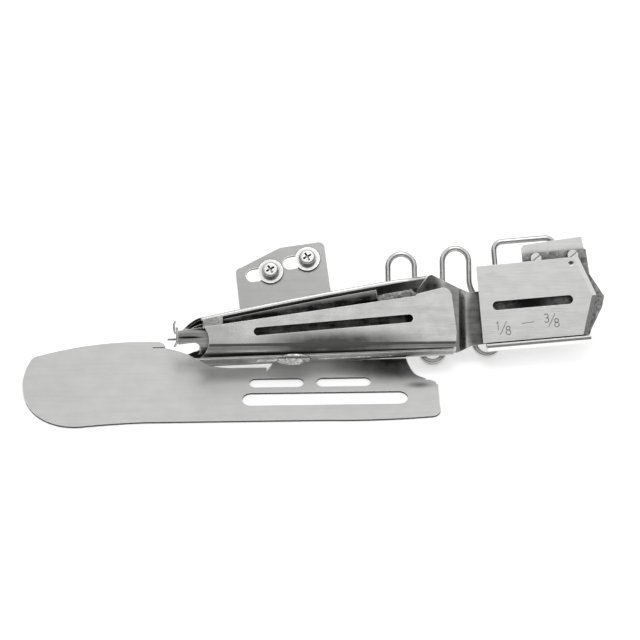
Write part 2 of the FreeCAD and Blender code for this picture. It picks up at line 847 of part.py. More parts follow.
def hem_blade():
    x = scroll_tip - blade_sheet
    bow = x - hem_blade_bow
    middle = face_top_mouth
    reach = hem_blade_height / 2
    points = [(x, middle + reach), (bow, middle + reach / 2), (bow, middle - reach / 2), (x, middle - reach)]
    return blade(points, [blade_sheet * 2, blade_sheet * 2])


def turning_pin():
    front = depth_at(scroll_tip) - face_sheet - tape_gap
    start = Vec(scroll_tip - blade_sheet, pin_height, front - blade_depth / 2)
    return Part.makeCylinder(pin_diameter / 2, pin_length, start, Vec(-1, 0, 0))


# Mounting bracket, in a frame of its own: X along its bend line, Y up, Z towards the face

def mounting_bracket():
    lean = radians(bracket_lean)
    reach = bracket_height + bracket_corner
    points = [(-bracket_flange, 0), (0, 0), (reach * cos(lean), -reach * sin(lean))]
    wire = sheet_wire(points, [bracket_bend], -bracket_sheet, lambda v, w: Vec(-1, v, w))
    sheet = Part.Face(wire).extrude(Vec(bracket_width + 2, 0, 0))
    low = bracket_low_height
    high = bracket_height
    size = bracket_corner
    keep = [
        (size * 0.09, -bracket_flange),
        (bracket_width - size * 0.29, -bracket_flange),
        (bracket_width, high - size),
        ((bracket_width - size * 0.12, high - size * 0.38),
         (bracket_width - size * 0.76, high - size * 0.12)),
        (bracket_width * 0.54, high),
        (size, low + size * 0.26),
        ((size * 0.56, low + size * 0.09), (size * 0.41, low - size * 0.24)),
    ]
    cutter = prism(keep, -high * 2, high)
    leg = sheet.common(cutter)
    leg.rotate(Vec(0, 0, 0), Vec(1, 0, 0), bracket_lean)
    for x, y in bracket_screws():
        offset = bracket_slot_length / 2 - bracket_slot_width / 2
        leg = leg.cut(slot(x - offset, y, bracket_slot_length, bracket_slot_width, -4, 4))
    leg.rotate(Vec(0, 0, 0), Vec(1, 0, 0), -bracket_lean)
    leg.rotate(Vec(0, 0, 0), Vec(0, 0, 1), bracket_slope)
    leg.translate(Vec(bracket_left, bracket_foot, 0))
    return solid(leg)


def bracket_screws():
    """Places of the two screws on the leg."""
    first = (bracket_screw_left, bracket_screw_height)
    second = (bracket_screw_left + bracket_screw_spacing, bracket_screw_height + bracket_screw_rise)
    return [first, second]


def on_leg(shape, place):
    """Stand a fastener, made round its own axis, on the leaning leg's front face."""
    moved = shape.copy()
    moved.translate(Vec(place[0], place[1], 0))
    moved.rotate(Vec(0, 0, 0), Vec(1, 0, 0), -bracket_lean)
    moved.rotate(Vec(0, 0, 0), Vec(0, 0, 1), bracket_slope)
    moved.translate(Vec(bracket_left, bracket_foot, 0))
    return moved


def cross_screw():
    """Pan head screw with a cross recess; its seat is at height zero."""
    head = Part.makeCylinder(head_diameter / 2, head_height)
    head = head.makeFillet(head_round, [edge for edge in head.Edges
                                        if edge.BoundBox.ZMin > head_height - 0.01])
    shank = Part.makeCylinder(screw_diameter / 2, screw_length, Vec(0, 0, -screw_length))
    screw = head.fuse(shank)
    for turn in (0, 90):
        bar = Part.makeBox(cross_length, cross_width, cross_depth + 1,
                           Vec(-cross_length / 2, -cross_width / 2, head_height - cross_depth))
        bar.rotate(Vec(0, 0, 0), Vec(0, 0, 1), turn + 20)
        screw = screw.cut(bar)
    return solid(screw)


def washer():
    disc = Part.makeCylinder(washer_diameter / 2, washer_thickness)
    return disc.cut(Part.makeCylinder(screw_diameter / 2 + washer_clearance, washer_thickness))


def nut():
    radius = nut_across_flats / 2 / cos(pi / 6)
    corners = [(radius * cos(i * pi / 3), radius * sin(i * pi / 3)) for i in range(6)]
    body = prism(corners, 0, nut_thickness)
    return body.cut(Part.makeCylinder(screw_diameter / 2 + thread_clearance, nut_thickness))


# Wires

def wire_along(steps, diameter, height):
    """Round wire along straight runs and tangent arcs, its middle at one height."""
    edges = outline_edges(steps, lambda x, y: Vec(x, y, height))
    return wire_solid(edges, diameter)


def wire_solid(edges, diameter):
    """One round piece for each run or arc of the path, joined end to end."""
    whole = None
    for edge in edges:
        start = edge.valueAt(edge.FirstParameter)
        direction = edge.tangentAt(edge.FirstParameter)
        disc = Part.Face(Part.Wire(Part.makeCircle(diameter / 2, start, direction)))
        if edge.Curve.TypeId == "Part::GeomCircle":
            angle = (edge.LastParameter - edge.FirstParameter) * 180 / pi
            piece = disc.revolve(edge.Curve.Center, edge.Curve.Axis, angle)
        else:
            piece = disc.extrude(edge.valueAt(edge.LastParameter) - start)
        whole = piece if whole is None else whole.fuse(piece)
    return solid(whole)


def wire_loop(number):
    """A long closed loop behind the rear sheet; its legs lean to the right on their way down."""
    top_x = loop_left_x + number * loop_spacing
    top_y = loop_left_top + number * loop_top_rise
    low_x = top_x + loop_bottom_shift
    low_y = loop_left_bottom + number * loop_bottom_rise
    waist = loop_waist + number * loop_top_rise
    a = loop_top_radius
    b = loop_bottom_radius
    left = sheet_line([(top_x - a, top_y), (top_x - a, waist), (low_x - b, low_y + b), (low_x - b, low_y)],
                      [loop_bend, loop_bend])
    right = sheet_line([(low_x + b, low_y), (low_x + b, low_y + b), (top_x + a, waist), (top_x + a, top_y)],
                       [loop_bend, loop_bend])
    steps = left + [((low_x, low_y - b), (low_x + b, low_y))] + right[1:]
    steps.append(((top_x, top_y + a), (top_x - a, top_y)))
    return wire_along(steps, wire_diameter, -wire_diameter / 2 - wire_seat)


def wire_guide():
    """U-shaped wire behind the tape guide, over the tape's path."""
    right = guide_wire_left + guide_wire_width
    middle = joggle_rise + back_sheet - edge_guide_sheet - wire_seat - wire_diameter / 2
    steps = sheet_line([(guide_wire_left, guide_wire_foot), (guide_wire_left, guide_wire_top),
                        (right, guide_wire_top), (right, guide_wire_right_foot)],
                       [guide_wire_bend, guide_wire_bend])
    edges = outline_edges(steps, lambda x, y: Vec(x, y, middle))[:-1]
    return wire_solid(edges, wire_diameter)


# Tape guide, in its own frame: X along the guide, Y up, Z as in the folder's frame

guide_rear = joggle_rise + back_sheet
guide_inside = guide_rear + guide_back_sheet
guide_front = guide_inside + guide_gap


def guide_front_plate():
    low = (guide_length + guide_skew, 0)
    point = (guide_point, guide_height / 2)
    high = (guide_length - guide_skew, guide_height + guide_skew)
    top = guide_front + guide_front_sheet
    plate = prism([(0, 0), low, point, high, (0, guide_height)], guide_front, top)
    for start, end in ((low, point), (point, high)):
        plate = plate.cut(flare_cut(start, end, top))
    middle = guide_slot_left + guide_slot_length / 2
    low = guide_front - 1
    plate = plate.cut(slot(middle, guide_slot_height, guide_slot_length, guide_slot_width, low, top + 1))
    plate = plate.cut(Part.makeSphere(dimple_diameter, Vec(dimple_place[0], dimple_place[1],
                                                           top + dimple_diameter - dimple_depth)))
    return solid(plate)


def flare_cut(start, end, top):
    """Wedge that thins the plate towards one slanted edge, where the tape runs in."""
    size = hypot(end[0] - start[0], end[1] - start[1])
    along = Vec((end[0] - start[0]) / size, (end[1] - start[1]) / size, 0)
    inward = Vec(-along.y, along.x, 0)
    origin = Vec(start[0], start[1], top) - along * 5
    corners = [
        origin + inward * guide_flare,
        origin - inward * guide_flare + Vec(0, 0, -2 * guide_flare_drop),
        origin - inward * guide_flare + Vec(0, 0, 1),
        origin + inward * guide_flare + Vec(0, 0, 1),
    ]
    face = Part.Face(Part.makePolygon(corners + [corners[0]]))
    return face.extrude(along * (size + 10))


def guide_back_plate():
    point = guide_point + guide_margin
    right = guide_length + guide_margin * 0.7
    margin = guide_margin
    inset = guide_back_inset
    top = guide_height + guide_back_top
    half = guide_height / 2
    steps = [
        (inset, 0),
        (right - margin / 5, 0),
        (right, margin * 0.55),
        (point - margin * 0.4, half - margin * 1.45),
        (point, half - margin / 5),
        (right + margin * 0.4, guide_height - margin * 2),
        (clamp_right, top),
        (clamp_left, top),
        (clamp_left, guide_height - inset),
        (inset, guide_height - inset),
    ]
    plate = prism(steps, guide_rear, guide_inside)
    radius = guide_lip_radius
    front = guide_rear + radius * 2.05
    foot = -guide_lip
    points = [(radius * 0.75, guide_rear), (foot, guide_rear), (foot, front), (-radius / 4, front)]
    bend = radius - guide_back_sheet
    wire = sheet_wire(points, [bend, bend], -guide_back_sheet, lambda v, w: Vec(guide_lip_left, v, w))
    lip = Part.Face(wire).extrude(Vec(right - inset - guide_lip_left, 0, 0))
    plate = plate.fuse(lip)
    for x in edge_screw_places():
        hole = Part.makeCylinder(edge_screw_diameter / 2 + thread_clearance, 6, Vec(x, edge_screw_height, 0))
        plate = plate.cut(hole)
    return solid(plate)


def edge_screw_places():
    return [edge_screw_left, edge_screw_left + edge_screw_spacing]


def guide_spacer():
    """Strip between the two plates, below their upper edges."""
    left = guide_back_inset
    right = clamp_left - guide_back_inset
    top = guide_height - guide_back_inset - spacer_drop
    outline = [(left, top - spacer_width), (right, top - spacer_width), (right, top), (left, top)]
    return prism(outline, guide_inside, guide_front)


def edge_guide():
    """Small plate clamped behind the tape guide; its upper edge keeps the tape in line."""
    top = guide_height + guide_back_top + edge_guide_rise
    low = top - edge_guide_height
    size = edge_guide_corner
    outline = [
        (clamp_left, low),
        (clamp_right - size / 3, low),
        (clamp_right - size / 7, top - size * 1.4),
        (clamp_right - size / 3, top),
        (clamp_left + size * 0.55, top - size * 0.41),
        ((clamp_left + size * 0.14, top - size * 0.59), (clamp_left, top - size)),
    ]
    plate = prism(outline, guide_rear - edge_guide_sheet, guide_rear)
    for x in edge_screw_places():
        hole = Part.makeCylinder(edge_screw_diameter / 2 + thread_clearance, 6, Vec(x, edge_screw_height, -1))
        plate = plate.cut(hole)
    return solid(plate)


def slotted_screw():
    """Small cheese head screw; its seat is at height zero."""
    head = Part.makeCylinder(edge_head_diameter / 2, edge_head_height)
    shank_length = guide_back_sheet + edge_guide_sheet
    shank = Part.makeCylinder(edge_screw_diameter / 2, shank_length, Vec(0, 0, -shank_length))
    start = Vec(-edge_head_diameter, -edge_slot_width / 2, edge_head_height - edge_slot_depth)
    groove = Part.makeBox(edge_head_diameter * 2, edge_slot_width, edge_slot_depth + 1, start)
    groove.rotate(Vec(0, 0, 0), Vec(0, 0, 1), 35)
    return solid(head.fuse(shank).cut(groove))


# Solder, shaped round what it joins

def lump(x, v, w, length, height, depth):
    """A flattened ball."""
    ball = Part.makeSphere(1)
    matrix = FreeCAD.Matrix()
    matrix.scale(length / 2, height / 2, depth / 2)
    shape = ball.transformGeometry(matrix)
    shape.translate(Vec(x, v, w))
    return shape


def lip_patch(left, right, shells):
    """Solder that closes the channel's side between its front hem and the face's upper edge."""
    sections = []
    for x in (left, right):
        share = (x - lip_start[0]) / (lip_end[0] - lip_start[0])
        roof = lip_start[1] + (lip_end[1] - lip_start[1]) * share
        low = face_top_at(x) - face_sheet
        front = depth_at(x) - face_sheet / 3
        top = lip_depth - back_sheet / 2
        thick = lip_patch_thickness
        edge = roof - back_sheet / 2
        points = [(low, front - thick), (low, front), (edge, top), (roof - back_sheet, top - thick)]
        corners = [Vec(x, v, w) for v, w in points]
        sections.append(Part.makePolygon(corners + [corners[0]]))
    patch = Part.makeLoft(sections, True, True)
    for shell in shells:
        patch = patch.cut(shell)
    return largest(patch)


def floor_patch(left, right, shells):
    """Thin solder over the inner scroll's upper tab, a little below the face."""
    sections = []
    for x in (left, right):
        low = face_top_at(x) - face_sheet
        high = face_top_at(x) + patch_rise
        under = depth_at(x) - face_sheet - tape_gap
        over = under + patch_thickness
        points = ((low, under), (low, over), (high, over), (high + patch_thickness / 2, under))
        corners = [Vec(x, v, w) for v, w in points]
        sections.append(Part.makePolygon(corners + [corners[0]]))
    patch = Part.makeLoft(sections, True, True)
    for shell in shells:
        patch = patch.cut(shell)
    return largest(patch)


def largest(shape):
    """The largest solid of a result."""
    return max(shape.Solids, key=lambda part: part.Volume)


def front_bead(shells):
    """Solder on the seam between the two lower rounds."""
    middle = (front_bead_left + front_bead_right) / 2
    length = front_bead_right - front_bead_left
    y, z = on_curl(middle, front_bead_touch, 0)
    body = lump(middle, 0, 0, length, front_bead_depth, front_bead_height)
    body.rotate(Vec(middle, 0, 0), Vec(0, 1, 0), -front_bead_slope)
    body.translate(Vec(0, y, z))
    for shell in shells:
        body = body.cut(shell)
    return largest(body)


def build():
    """Every piece of the binder, by name."""
    path = LipPath()
    pieces = {}
    pieces["bed_plate"] = bed_plate()
    face = face_shell()
    back = back_shell(path)
    scroll = inner_scroll()
    tongue = hem_tongue(path)
    pieces["face_shell"] = tilt(face)
    pieces["back_shell"] = tilt(back)
    pieces["inner_scroll"] = tilt(scroll)
    pieces["hem_tongue"] = tilt(tongue)
    pieces["turning_blade"] = tilt(turning_blade())
    pieces["hem_blade"] = tilt(hem_blade())
    pieces["turning_pin"] = tilt(turning_pin())
    pieces["mounting_bracket"] = tilt(mounting_bracket())
    for side, place in zip(("left", "right"), bracket_screws()):
        ring = washer()
        screw = cross_screw()
        screw.translate(Vec(0, 0, washer_thickness))
        back_nut = nut()
        back_nut.translate(Vec(0, 0, -bracket_sheet - nut_thickness))
        pieces["bracket_washer_" + side] = tilt(on_leg(ring, place))
        pieces["bracket_screw_" + side] = tilt(on_leg(screw, place))
        pieces["bracket_nut_" + side] = tilt(on_leg(back_nut, place))
    pieces["wire_loop_left"] = tilt(wire_loop(0))
    pieces["wire_loop_right"] = tilt(wire_loop(1))
    pieces["wire_guide"] = tilt(in_guide(wire_guide()))
    pieces["guide_back_plate"] = tilt(in_guide(guide_back_plate()))
    pieces["guide_front_plate"] = tilt(in_guide(guide_front_plate()))
    pieces["guide_spacer"] = tilt(in_guide(guide_spacer()))
    pieces["edge_guide"] = tilt(in_guide(edge_guide()))
    for side, x in zip(("left", "right"), edge_screw_places()):
        screw = slotted_screw()
        screw.translate(Vec(x, edge_screw_height, guide_inside))
        pieces["edge_guide_screw_" + side] = tilt(in_guide(screw))
    inside = [face, back, scroll, tongue]
    pieces["solder_lip_end"] = tilt(lip_patch(lip_patch_left, lip_patch_right, inside))
    pieces["solder_channel_floor"] = tilt(floor_patch(floor_patch_left, floor_patch_right, inside))
    pieces["solder_front_seam"] = front_bead([pieces["face_shell"], pieces["back_shell"]])
    return pieces


os.makedirs("parts", exist_ok=True)
for name, shape in build().items():
    shape.exportStep("parts/" + name + ".step")
    print(name, "solids", len(shape.Solids), "volume", round(shape.Volume, 2), "valid", shape.isValid())
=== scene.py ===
# %% [markdown]
# A right angle binder is a folded sheet-metal tool for a sewing machine. Flat tape enters at
# the right, is folded double on its way through the tilted shells, and is turned round the
# fabric's edge at the mouth on the left. The solid model brings every piece at its exact size.
# This lesson gives each piece the surface of the real one: plated, ground, drawn or soldered
# metal. Metal is mostly what it mirrors, so the room of light matters as much as the shaders.

# %% Load the solids
import bpy
import bmesh
import json
from math import cos, pi, radians, sin
from mathutils import Matrix, Vector, noise


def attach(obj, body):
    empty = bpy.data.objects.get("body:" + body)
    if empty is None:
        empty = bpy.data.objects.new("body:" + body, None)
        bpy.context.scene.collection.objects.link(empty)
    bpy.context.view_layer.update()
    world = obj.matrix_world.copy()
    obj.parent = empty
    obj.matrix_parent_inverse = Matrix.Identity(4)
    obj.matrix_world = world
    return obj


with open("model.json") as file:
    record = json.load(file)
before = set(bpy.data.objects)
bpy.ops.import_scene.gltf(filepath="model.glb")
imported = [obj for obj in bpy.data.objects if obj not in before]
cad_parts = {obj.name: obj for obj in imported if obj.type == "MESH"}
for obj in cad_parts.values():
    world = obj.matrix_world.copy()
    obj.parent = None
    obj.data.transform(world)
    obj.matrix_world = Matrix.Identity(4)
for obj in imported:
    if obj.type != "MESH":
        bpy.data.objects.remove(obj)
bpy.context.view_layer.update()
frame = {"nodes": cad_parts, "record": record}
nodes = frame["nodes"]
scene = bpy.context.scene
scene.view_settings.view_transform = "Standard"
mm = 0.001

# %% [markdown]
# The camera is a long lens, well above the machine bed and square to the plate's front edge.
# It could be aimed by hand with a Track To constraint. Here its three axes are worked out from
# two angles, so that the picture's edges line up with the plate as they do in a product shot.
# At this distance the lens shows a millimetre as 3 of the picture's 640 pixels.

# %% Camera
camera_height_angle = radians(42.0)
camera_turn = radians(-1.1)
camera_distance = 700 * mm
camera_lens = 118.125
aim = Vector((-1.36, 18.24, 19.40)) * mm
right = Vector((cos(camera_turn), sin(camera_turn), 0))
back = Vector((sin(camera_turn) * cos(camera_height_angle),
               -cos(camera_turn) * cos(camera_height_angle),
               sin(camera_height_angle)))
up = back.cross(right)
camera_data = bpy.data.cameras.new("product_camera")
camera_data.sensor_width = 36
camera_data.lens = camera_lens
camera_data.clip_start = 0.01
camera = bpy.data.objects.new("product_camera", camera_data)
camera_axes = Matrix((right, up, back)).transposed().to_4x4()
camera.matrix_world = Matrix.Translation(aim + back * camera_distance) @ camera_axes
scene.collection.objects.link(camera)
scene.camera = camera
print("camera at", [round(value, 3) for value in camera.matrix_world.translation], "m")

# %% [markdown]
# Colours are written as the hex values that a paint chart or a photo editor shows. Blender
# mixes light in linear values, so one function turns each hex value into those. A second small
# function adds a shader node, sets its options and fills its sockets with values or links, and
# a third starts an empty material.

# %% Colour and node helpers
def linear(code):
    """Linear colour from an sRGB hex value such as 'C8C6C2'."""
    channels = []
    for start in (0, 2, 4):
        value = int(code[start:start + 2], 16) / 255
        channels.append(value / 12.92 if value <= 0.04045 else ((value + 0.055) / 1.055) ** 2.4)
    return (*channels, 1.0)


def add(tree, kind, sockets=None, **options):
    """One shader node with its options set and its sockets filled."""
    node = tree.nodes.new(kind)
    for name, value in options.items():
        setattr(node, name, value)
    for name, value in (sockets or {}).items():
        if isinstance(value, bpy.types.NodeSocket):
            tree.links.new(value, node.inputs[name])
        else:
            node.inputs[name].default_value = value
    return node


def new_material(name):
    """An empty node material and its output node."""
    material = bpy.data.materials.new(name)
    material.use_nodes = True
    material.node_tree.nodes.clear()
    return material, add(material.node_tree, "ShaderNodeOutputMaterial")


print("nickel grey C9C7C4 is", [round(value, 3) for value in linear("C9C7C4")[:3]], "in linear light")

# %% [markdown]
# Small metal parts are photographed in a light tent: a bright ceiling, a white table, a dark
# opening low down in front, where the camera stands, and dim cards at the sides. The opening
# draws the dark bands along the rolled edges, the cards draw the dark rims of the wires. The
# tent is a world whose brightness follows the direction, because lamps alone would leave black
# holes in the mirror-like plating. One lamp in the ceiling gives the soft shadow.

# %% Light tent
world = bpy.data.worlds.new("light_tent")
scene.world = world
world.use_nodes = True
tent = world.node_tree
tent.nodes.clear()
tent_top = (0.0, 0.36, 0.93)
tent_opening = ((0.24, "8A8A8A"), (0.29, "3C3C3C"), (0.35, "404040"), (0.41, "F8F8F8"))
cards_from, cards_full, cards_light = 0.78, 0.94, 0.30
direction = add(tent, "ShaderNodeTexCoord").outputs["Generated"]
lean = add(tent, "ShaderNodeVectorMath", {0: direction, 1: tent_top}, operation="DOT_PRODUCT")
ceiling = add(tent, "ShaderNodeValToRGB", {"Fac": lean.outputs["Value"]})
ceiling.color_ramp.interpolation = "LINEAR"
ramp = ceiling.color_ramp.elements
ramp[0].position = 0.0
ramp[0].color = linear("808080")
ramp[1].position = 1.0
ramp[1].color = linear("F6F6F6")
for position, code in tent_opening:
    step = ramp.new(position)
    step.color = linear(code)
sideways = add(tent, "ShaderNodeSeparateXYZ", {0: direction}).outputs["X"]
sideways = add(tent, "ShaderNodeMath", {0: sideways}, operation="ABSOLUTE").outputs[0]
cards = add(tent, "ShaderNodeMapRange", {"Value": sideways, "From Min": cards_from, "From Max": cards_full,
                                         "To Min": 1.0, "To Max": cards_light}).outputs[0]
glow = add(tent, "ShaderNodeBackground", {"Color": ceiling.outputs["Color"], "Strength": cards})
add(tent, "ShaderNodeOutputWorld", {"Surface": glow.outputs[0]})

lamp_place, lamp_target = Vector((0.05, 0.10, 1.1)), Vector((0, 0.02, 0))
lamp_data = bpy.data.lights.new("top_box", "AREA")
lamp_data.shape = "RECTANGLE"
lamp_data.size, lamp_data.size_y = 0.6, 0.4
lamp_data.energy = 1.6
lamp = bpy.data.objects.new("top_box", lamp_data)
lamp_turn = (lamp_target - lamp_place).to_track_quat("-Z", "Y")
lamp.matrix_world = Matrix.Translation(lamp_place) @ lamp_turn.to_matrix().to_4x4()
scene.collection.objects.link(lamp)
print("tent with", len(ramp), "bands of light and a lamp of", round(lamp_data.energy, 1), "W")

# %% [markdown]
# The table is a plain white card. Its colour is set a little under white, and for what the
# camera and the metal see directly a touch of glow is added, so that the open card reads as
# white while the object's soft shadow stays on it.

# %% White table
card_glow = 0.42
half = 3.0
card, card_out = new_material("white_card")
tree = card.node_tree
paths = add(tree, "ShaderNodeLightPath").outputs
seen = add(tree, "ShaderNodeMath", {0: paths["Is Camera Ray"], 1: paths["Is Glossy Ray"]}, operation="ADD")
seen = add(tree, "ShaderNodeMath", {0: seen.outputs[0], 1: paths["Is Transmission Ray"]}, operation="ADD")
lift = add(tree, "ShaderNodeMath", {0: seen.outputs[0], 1: card_glow}, operation="MULTIPLY")
matt = add(tree, "ShaderNodeBsdfDiffuse", {"Color": linear("F2F2F2")})
lit = add(tree, "ShaderNodeEmission", {"Color": linear("FFFFFF"), "Strength": lift.outputs[0]})
both = add(tree, "ShaderNodeAddShader", {0: matt.outputs[0], 1: lit.outputs[0]})
tree.links.new(both.outputs[0], card_out.inputs["Surface"])
corners = [(-half, -half, 0), (half, -half, 0), (half, half, 0), (-half, half, 0)]
table_mesh = bpy.data.meshes.new("table")
table_mesh.from_pydata(corners, [], [(0, 1, 2, 3)])
table_mesh.materials.append(card)
table = bpy.data.objects.new("table", table_mesh)
table.location = (0, 0, -0.05 * mm)
scene.collection.objects.link(table)
print("table", 2 * half, "m square")

# %% [markdown]
# The folder's sheets are all tilted by 45 degrees, so their patterns are worked out in the
# folder's own frame: x along the plate, v up the sheets, w out of them. A turn and a shift take
# a point of the world there. The same frame places the darker spots and those of painted shade,
# such as the neck behind the tape guide and the band below the long slot. The tape guide has a
# frame too, turned a little more, with its origin in the lower left corner.

# %% The folder's own frame
folder_tilt = radians(45)
folder_back = 20.12 * mm
folder_height = 6.0 * mm
folder_place = (Matrix.Translation((0, folder_back, folder_height)) @ Matrix.Rotation(folder_tilt, 4, "X"))
folder_offset = (folder_place.inverted() @ Vector((0, 0, 0)))
guide_corner = Vector((53.5, -0.1, 5.3))
guide_turn = radians(4.2)
guide_place = (folder_place @ Matrix.Translation(guide_corner * mm) @ Matrix.Rotation(guide_turn, 4, "Z"))
print("offset in mm", [round(value / mm, 3) for value in folder_offset])


def local_place(tree, tilted):
    """Where a point is, in the folder's frame when the sheet belongs to it."""
    place = add(tree, "ShaderNodeNewGeometry").outputs["Position"]
    if not tilted:
        return place
    turned = add(tree, "ShaderNodeVectorRotate", {"Vector": place, "Angle": -folder_tilt},
                 rotation_type="X_AXIS").outputs["Vector"]
    return add(tree, "ShaderNodeVectorMath", {0: turned, 1: tuple(folder_offset)},
               operation="ADD").outputs[0]


def spot(tree, place, middle, size, soft):
    """1 inside an ellipsoid given by its middle and half sizes in mm, fading to 0 at its skin."""
    offset = [-value * mm for value in middle]
    moved = add(tree, "ShaderNodeVectorMath", {0: place, 1: offset}, operation="ADD").outputs[0]
    scaled = add(tree, "ShaderNodeVectorMath", {0: moved, 1: [1 / (value * mm) for value in size]},
                 operation="MULTIPLY").outputs[0]
    far = add(tree, "ShaderNodeVectorMath", {0: scaled}, operation="LENGTH").outputs["Value"]
    return add(tree, "ShaderNodeMapRange", {"Value": far, "From Min": 1.0 - soft, "From Max": 1.0,
                                            "To Min": 1.0, "To Max": 0.0},
               interpolation_type="SMOOTHSTEP").outputs[0]


# %% [markdown]
# Nickel plate that has been buffed on a cloth wheel is mirror-like, but never perfect: the wheel
# leaves fine lines and streaks along its travel, handling leaves small pits, and hand-bent sheet
# has slow waves that bend the reflections. Each is a noise texture at its real spacing in
# millimetres, and the lines and streaks are stretched along the wheel's travel. An ambient
# occlusion node finds the corners and recesses, where painted shade darkens the colour, and the
# Bevel node finds the edges, which are painted brighter, partly wear and partly a painted
# highlight. Spots are dull places and painted shade on the front of a sheet, and the punched
# walls of the slots and the sides turned away can be given painted shade. A satin sheet was
# brushed one way, so its shine is drawn out by the Anisotropic socket.

# %% Plated and buffed sheet
stretch = 0.06
streak_gap, wave_gap, cloud_gap, pit_gap = 1.4, 14, 6, 1.6
# Colours of the painted highlight with wear on edges, and of the painted shade in recesses.
edge_wear_and_highlight, recess_shade_colour = "FAFAF9", "2C2C2B"


def plated_sheet(name, code, tilted, gloss, dull_and_shade_colour="7C7C7B", line_gap=0.35, wave=0.2, bevel=0.10, rim=0.5,
                 recess=6.0, recess_shade_strength=0.9, blur=0.22, streak=0.10, cloud=0.16, brushed=0.0, spots=(),
                 back_shade=0.0, wall_shade=0.0):
    """Buffed metal; spots paint dullness and shade on its front, and sides turned away can get painted shade.
    """
    material, out = new_material(name)
    tree = material.node_tree
    place = local_place(tree, tilted)
    along = add(tree, "ShaderNodeMapping", {"Vector": place, "Scale": (stretch, 1.0, 1.0)}).outputs[0]
    lines = add(tree, "ShaderNodeTexNoise", {"Vector": along, "Scale": 1 / (line_gap * mm), "Detail": 4.0,
                                             "Roughness": 0.7}).outputs["Fac"]
    streaks = add(tree, "ShaderNodeTexNoise", {"Vector": along, "Scale": 1 / (streak_gap * mm),
                                               "Detail": 3.0}).outputs["Fac"]
    waves = add(tree, "ShaderNodeTexNoise", {"Vector": place, "Scale": 1 / (wave_gap * mm),
                                             "Detail": 2.0}).outputs["Fac"]
    clouds = add(tree, "ShaderNodeTexNoise", {"Vector": place, "Scale": 1 / (cloud_gap * mm), "Detail": 6.0,
                                              "Roughness": 0.65}).outputs["Fac"]
    pits = add(tree, "ShaderNodeTexVoronoi", {"Vector": place, "Scale": 1 / (pit_gap * mm)}).outputs["Distance"]
    pit = add(tree, "ShaderNodeMapRange", {"Value": pits, "From Min": 0.0, "From Max": 0.09,
                                           "To Min": 1.0, "To Max": 0.0}).outputs[0]

    # The normal of the flat shape against the rounded one shows where an edge is near.
    edge = add(tree, "ShaderNodeBevel", {"Radius": bevel * mm}, samples=4).outputs[0]
    rounded = add(tree, "ShaderNodeBevel", {"Radius": rim * mm}, samples=6).outputs[0]
    shape = add(tree, "ShaderNodeNewGeometry").outputs["Normal"]
    same = add(tree, "ShaderNodeVectorMath", {0: rounded, 1: shape}, operation="DOT_PRODUCT").outputs["Value"]
    # Near an edge the colour is painted brighter: partly wear, partly a painted highlight.
    worn_and_highlit_edge = add(tree, "ShaderNodeMapRange", {"Value": same, "From Min": 0.84, "From Max": 0.98,
                                            "To Min": 1.0, "To Max": 0.0}).outputs[0]
    # Where the ambient occlusion node finds a recess, painted shade darkens the colour.
    shut = add(tree, "ShaderNodeAmbientOcclusion", {"Distance": recess * mm}, samples=8).outputs["AO"]
    recess_shade = add(tree, "ShaderNodeMapRange", {"Value": shut, "From Min": 0.25, "From Max": 0.85,
                                             "To Min": recess_shade_strength, "To Max": 0.0}).outputs[0]

    # The tone runs from 0, bright nickel, to 1, dull nickel; spots, walls and sides turned away add painted
    # shade to it.
    tone = add(tree, "ShaderNodeMapRange", {"Value": clouds, "From Min": 0.25, "From Max": 0.75,
                                            "To Min": 0.0, "To Max": cloud}).outputs[0]
    drawn = add(tree, "ShaderNodeMapRange", {"Value": streaks, "From Min": 0.35, "From Max": 0.65,
                                             "To Min": 0.0, "To Max": streak}).outputs[0]
    tone = add(tree, "ShaderNodeMath", {0: tone, 1: drawn}, operation="ADD").outputs[0]
    tone = add(tree, "ShaderNodeMath", {0: pit, 1: 0.4, 2: tone}, operation="MULTIPLY_ADD").outputs[0]
    out_of_sheet = (0.0, -0.707, 0.707) if tilted else (0.0, 0.0, 1.0)
    facing = add(tree, "ShaderNodeVectorMath", {0: shape, 1: out_of_sheet},
                 operation="DOT_PRODUCT").outputs["Value"]
    front = add(tree, "ShaderNodeMapRange", {"Value": facing, "From Min": 0.0, "From Max": 0.25}).outputs[0]
    uneven = add(tree, "ShaderNodeMapRange", {"Value": clouds, "From Min": 0.35, "From Max": 0.65,
                                              "To Min": 0.92, "To Max": 1.05}).outputs[0]
    # Each spot adds dullness and painted shade to the front of the sheet.
    for middle, size, strength, soft in spots:
        share = add(tree, "ShaderNodeMath", {0: front, 1: strength}, operation="MULTIPLY").outputs[0]
        share = add(tree, "ShaderNodeMath", {0: share, 1: uneven}, operation="MULTIPLY").outputs[0]
        tone = add(tree, "ShaderNodeMath", {0: spot(tree, place, middle, size, soft), 1: share, 2: tone},
                   operation="MULTIPLY_ADD").outputs[0]
    # Walls that stand sideways to the sheet get painted shade.
    if wall_shade:
        sideways = add(tree, "ShaderNodeMath", {0: facing}, operation="ABSOLUTE").outputs[0]
        wall_shade_mask = add(tree, "ShaderNodeMapRange", {"Value": sideways, "From Min": 0.25, "From Max": 0.5,
                                                   "To Min": wall_shade, "To Max": 0.0}).outputs[0]
        tone = add(tree, "ShaderNodeMath", {0: tone, 1: wall_shade_mask}, operation="ADD").outputs[0]
    # Sides turned away from the sheet's front get painted shade.
    if back_shade:
        turned = add(tree, "ShaderNodeMapRange", {"Value": facing, "From Min": -0.1, "From Max": 0.6,
                                                  "To Min": back_shade, "To Max": 0.0}).outputs[0]
        tone = add(tree, "ShaderNodeMath", {0: tone, 1: turned}, operation="ADD").outputs[0]
    tone = add(tree, "ShaderNodeMath", {0: tone, 1: 1.0}, operation="MINIMUM").outputs[0]

